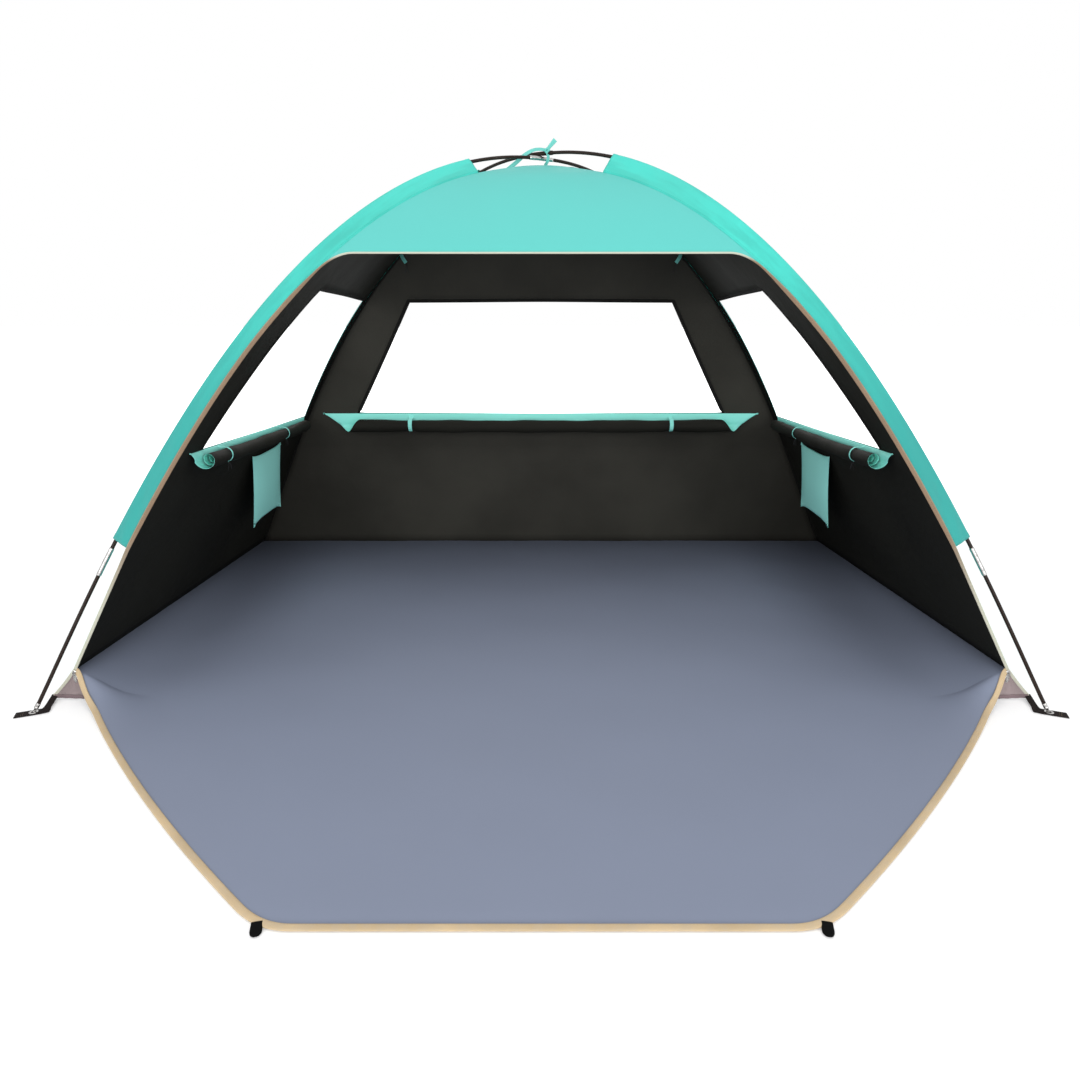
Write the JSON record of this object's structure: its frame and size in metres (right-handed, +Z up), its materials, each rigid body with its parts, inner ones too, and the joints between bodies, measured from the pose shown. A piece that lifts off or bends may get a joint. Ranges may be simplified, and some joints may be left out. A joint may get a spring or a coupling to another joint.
{
  "type": "beach tent",
  "caption": "Open-fronted beach tent: a cloth canopy hung under crossed bowed poles, with side and rear windows, rolled flaps, pockets and a fold-up porch.",
  "frame": {"origin": "on the ground, in the middle of the whole footprint from the peg tabs to the rear straps", "axes": "+X across the tent to its right seen from the front, -Y out of the open front, +Z up"},
  "size_m": [2.4158, 2.013, 1.3026],
  "materials": {
    "canopy_fabric": "plain-woven polyester in turquoise, black sun-blocking coating inside, faint sheen",
    "coated_lining": "black coated side of the canopy cloth, matt",
    "floor_fabric": "blue-grey coated polyester, matt",
    "tan_tape": "tan woven binding tape",
    "gusset_fabric": "mauve-grey plain weave",
    "black_webbing": "black ribbed webbing",
    "fibreglass_rod": "black pultruded fibreglass, semi-gloss",
    "plated_steel": "nickel-plated steel, lightly scuffed",
    "shock_cord": "black braided elastic cord"
  },
  "bodies": {
    "canopy": {"main_floor": "floor_fabric", "side_panel_left": "canopy_fabric", "side_panel_right": "canopy_fabric", "rear_panel": "canopy_fabric", "visor_panel": "canopy_fabric", "opening_binding": "tan_tape", "sleeve_front_left": "canopy_fabric", "sleeve_front_right": "canopy_fabric", "sleeve_rear_left": "canopy_fabric", "sleeve_rear_right": "canopy_fabric", "apex_tie": "canopy_fabric", "pole_a_front_tip": "plated_steel", "pole_a_front_lower_rod": "fibreglass_rod", "pole_a_front_ferrule": "plated_steel", "pole_a_front_upper_rod": "fibreglass_rod", "pole_a_crossing_ferrule": "plated_steel", "pole_a_rear_upper_rod": "fibreglass_rod", "pole_a_rear_ferrule": "plated_steel", "pole_a_rear_lower_rod": "fibreglass_rod", "pole_a_rear_tip": "plated_steel", "pole_a_shock_cord": "shock_cord", "pole_b_front_tip": "plated_steel", "pole_b_front_lower_rod": "fibreglass_rod", "pole_b_front_ferrule": "plated_steel", "pole_b_front_upper_rod": "fibreglass_rod", "pole_b_crossing_ferrule": "plated_steel", "pole_b_rear_upper_rod": "fibreglass_rod", "pole_b_rear_ferrule": "plated_steel", "pole_b_rear_lower_rod": "fibreglass_rod", "pole_b_rear_tip": "plated_steel", "pole_b_shock_cord": "shock_cord", "foot_strap_front_left": "black_webbing", "foot_strap_front_right": "black_webbing", "foot_strap_rear_left": "black_webbing", "foot_strap_rear_right": "black_webbing", "grommet_front_left": "plated_steel", "grommet_front_right": "plated_steel", "grommet_rear_left": "plated_steel", "grommet_rear_right": "plated_steel", "corner_gusset_left": "gusset_fabric", "corner_gusset_right": "gusset_fabric"},
    "porch": {"porch_floor": "floor_fabric", "porch_binding": "tan_tape", "peg_tab_left": "black_webbing", "peg_tab_right": "black_webbing"},
    "flap_left": {"window_roll_left": "coated_lining", "roll_strap_left_front": "canopy_fabric", "roll_strap_left_rear": "canopy_fabric"},
    "flap_right": {"window_roll_right": "coated_lining", "roll_strap_right_front": "canopy_fabric", "roll_strap_right_rear": "canopy_fabric"},
    "flap_rear": {"window_roll_rear": "coated_lining", "roll_strap_rear_left": "canopy_fabric", "roll_strap_rear_right": "canopy_fabric"},
    "left_pocket": {"pocket_left": "canopy_fabric"},
    "right_pocket": {"pocket_right": "canopy_fabric"},
    "left_slider": {"zip_slider_left": "plated_steel"},
    "right_slider": {"zip_slider_right": "plated_steel"},
    "left_pull": {"zip_pull_left": "plated_steel"},
    "right_pull": {"zip_pull_right": "plated_steel"}
  },
  "joints": [
    {"name": "porch_fold", "type": "hinge", "parent": "canopy", "child": "porch", "pos_m": [0, -0.29554, 0.0012], "axis": [-1, 0, 0], "range_deg": [0, 100]},
    {"name": "flap_left_lift", "type": "hinge", "parent": "canopy", "child": "flap_left", "pos_m": [-0.83814, 0.30476, 0.53382], "axis": [0.0325, -0.998, 0.0548], "range_deg": [0, 80]},
    {"name": "flap_right_lift", "type": "hinge", "parent": "canopy", "child": "flap_right", "pos_m": [0.83814, 0.30476, 0.53382], "axis": [0.0325, 0.998, -0.0548], "range_deg": [0, 80]},
    {"name": "flap_rear_lift", "type": "hinge", "parent": "canopy", "child": "flap_rear", "pos_m": [0, 0.84466, 0.512], "axis": [-1, 0, 0], "range_deg": [0, 80]},
    {"name": "pocket_left_swing", "type": "hinge", "parent": "canopy", "child": "left_pocket", "pos_m": [-0.88604, 0.48976, 0.45], "axis": [0, -1, 0], "range_deg": [-22, 50]},
    {"name": "pocket_right_swing", "type": "hinge", "parent": "canopy", "child": "right_pocket", "pos_m": [0.88604, 0.48976, 0.45], "axis": [0, 1, 0], "range_deg": [-22, 50]},
    {"name": "zip_left_travel", "type": "slide", "parent": "canopy", "child": "left_slider", "axis": [0.4987, 0.0305, 0.8663], "range_m": [0, 0.29]},
    {"name": "zip_right_travel", "type": "slide", "parent": "canopy", "child": "right_slider", "axis": [-0.4987, 0.0305, 0.8663], "range_m": [0, 0.29]},
    {"name": "zip_left_pull_turn", "type": "hinge", "parent": "left_slider", "child": "left_pull", "pos_m": [-1.10278, -0.29944, 0.0651], "axis": [-1, 0, 0], "range_deg": [0, 150]},
    {"name": "zip_right_pull_turn", "type": "hinge", "parent": "right_slider", "child": "right_pull", "pos_m": [1.10278, -0.29944, 0.0651], "axis": [-1, 0, 0], "range_deg": [0, 150]}
  ]
}
